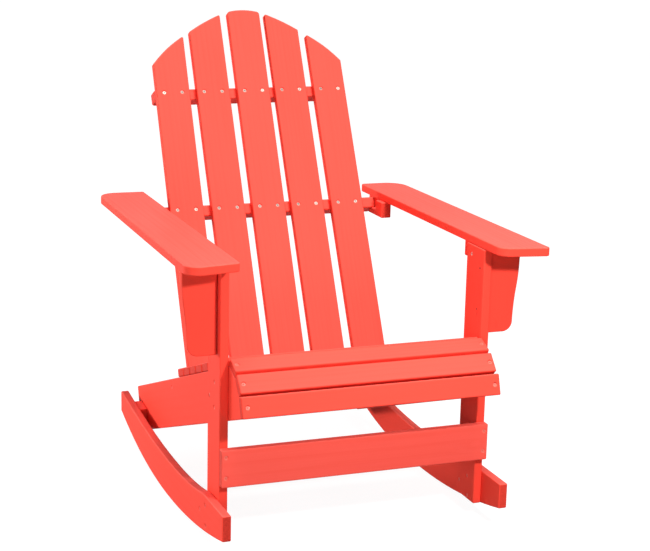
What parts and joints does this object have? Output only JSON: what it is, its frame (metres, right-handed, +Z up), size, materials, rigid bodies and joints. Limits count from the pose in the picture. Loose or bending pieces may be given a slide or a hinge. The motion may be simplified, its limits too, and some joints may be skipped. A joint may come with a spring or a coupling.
{
  "type": "rocking adirondack chair",
  "caption": "Slatted wooden rocking armchair with a reclined arched back, wide flat arms and curved rockers, painted red.",
  "frame": {"origin": "centre of the bounding box in plan, on the floor under the rockers' lowest line", "axes": "+Z up, -Y the way the sitter faces, +X to the right as seen from the front; the side frames are mirror images in x = 0"},
  "size_m": [0.7205, 0.8531, 0.9612],
  "materials": {
    "painted_wood": "satin paint over planed softwood",
    "screw_steel": "zinc plated"
  },
  "bodies": {
    "root": {"arm_block_left": "painted_wood", "arm_block_right": "painted_wood", "arm_block_screws": "screw_steel", "arm_bracket_left": "painted_wood", "arm_bracket_right": "painted_wood", "arm_cleat_left": "painted_wood", "arm_cleat_right": "painted_wood", "arm_left": "painted_wood", "arm_right": "painted_wood", "back_slat_1": "painted_wood", "back_slat_2": "painted_wood", "back_slat_3": "painted_wood", "back_slat_4": "painted_wood", "back_slat_5": "painted_wood", "cleat_screws": "screw_steel", "front_stretcher": "painted_wood", "lower_back_rail": "painted_wood", "lower_rail_end_screws": "screw_steel", "lower_rail_screws": "screw_steel", "middle_back_rail": "painted_wood", "middle_rail_screws": "screw_steel", "post_left": "painted_wood", "post_right": "painted_wood", "post_screws": "screw_steel", "rear_spacer_left": "painted_wood", "rear_spacer_right": "painted_wood", "rocker_bolts": "screw_steel", "rocker_left": "painted_wood", "rocker_right": "painted_wood", "seat_apron": "painted_wood", "seat_screws": "screw_steel", "seat_slat_1": "painted_wood", "seat_slat_10": "painted_wood", "seat_slat_2": "painted_wood", "seat_slat_3": "painted_wood", "seat_slat_4": "painted_wood", "seat_slat_5": "painted_wood", "seat_slat_6": "painted_wood", "seat_slat_7": "painted_wood", "seat_slat_8": "painted_wood", "seat_slat_9": "painted_wood", "spacer_screws": "screw_steel", "stretcher_screws": "screw_steel", "stringer_left": "painted_wood", "stringer_right": "painted_wood", "upper_back_rail": "painted_wood", "upper_rail_screws": "screw_steel"}
  },
  "joints": []
}
